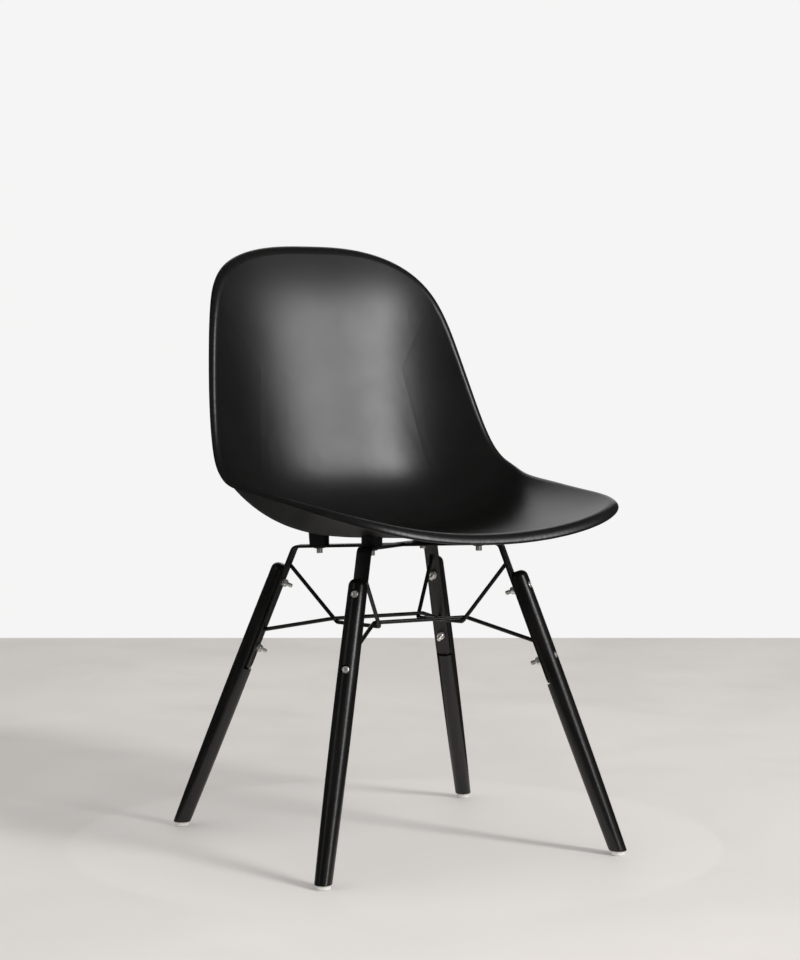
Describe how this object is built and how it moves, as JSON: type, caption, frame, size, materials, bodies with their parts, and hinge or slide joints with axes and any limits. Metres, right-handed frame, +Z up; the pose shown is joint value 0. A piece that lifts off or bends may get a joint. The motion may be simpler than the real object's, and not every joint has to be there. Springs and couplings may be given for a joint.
{
  "type": "side chair",
  "caption": "Armless side chair: one moulded plastic seat and back shell on a crossed steel strap base with bent brace rods and splayed turned wooden legs on glides.",
  "frame": {"origin": "on the floor, at the middle of the chair's outline", "axes": "+Z up, -Y towards the front edge of the seat, +X towards the sitter's left"},
  "size_m": [0.4782, 0.5796, 0.8236],
  "materials": {
    "shell": "fine grained satin black polypropylene",
    "powder_coat": "satin black powder coat",
    "leg": "black stained and lacquered turned wood",
    "zinc": "bright zinc plate",
    "washer": "black",
    "insert": "plain turned",
    "glide": "translucent white plastic",
    "nail": "plain steel"
  },
  "bodies": {
    "root": {"seat_shell": "shell", "cross_strap_long": "powder_coat", "cross_strap_front": "powder_coat", "cross_strap_rear": "powder_coat", "brace_rod_left": "powder_coat", "brace_rod_right": "powder_coat", "brace_rod_front": "powder_coat", "brace_rod_rear": "powder_coat", "leg_front_left": "leg", "leg_bolt_front_left_upper": "zinc", "leg_nut_front_left_upper": "zinc", "leg_bolt_front_left_lower": "zinc", "leg_nut_front_left_lower": "zinc", "mount_washer_front_left": "washer", "mount_screw_front_left": "zinc", "thread_insert_front_left": "insert", "glide_front_left": "glide", "glide_nail_front_left": "nail", "leg_front_right": "leg", "leg_bolt_front_right_upper": "zinc", "leg_nut_front_right_upper": "zinc", "leg_bolt_front_right_lower": "zinc", "leg_nut_front_right_lower": "zinc", "mount_washer_front_right": "washer", "mount_screw_front_right": "zinc", "thread_insert_front_right": "insert", "glide_front_right": "glide", "glide_nail_front_right": "nail", "leg_rear_left": "leg", "leg_bolt_rear_left_upper": "zinc", "leg_nut_rear_left_upper": "zinc", "leg_bolt_rear_left_lower": "zinc", "leg_nut_rear_left_lower": "zinc", "mount_washer_rear_left": "washer", "mount_screw_rear_left": "zinc", "thread_insert_rear_left": "insert", "glide_rear_left": "glide", "glide_nail_rear_left": "nail", "leg_rear_right": "leg", "leg_bolt_rear_right_upper": "zinc", "leg_nut_rear_right_upper": "zinc", "leg_bolt_rear_right_lower": "zinc", "leg_nut_rear_right_lower": "zinc", "mount_washer_rear_right": "washer", "mount_screw_rear_right": "zinc", "thread_insert_rear_right": "insert", "glide_rear_right": "glide", "glide_nail_rear_right": "nail"}
  },
  "joints": []
}
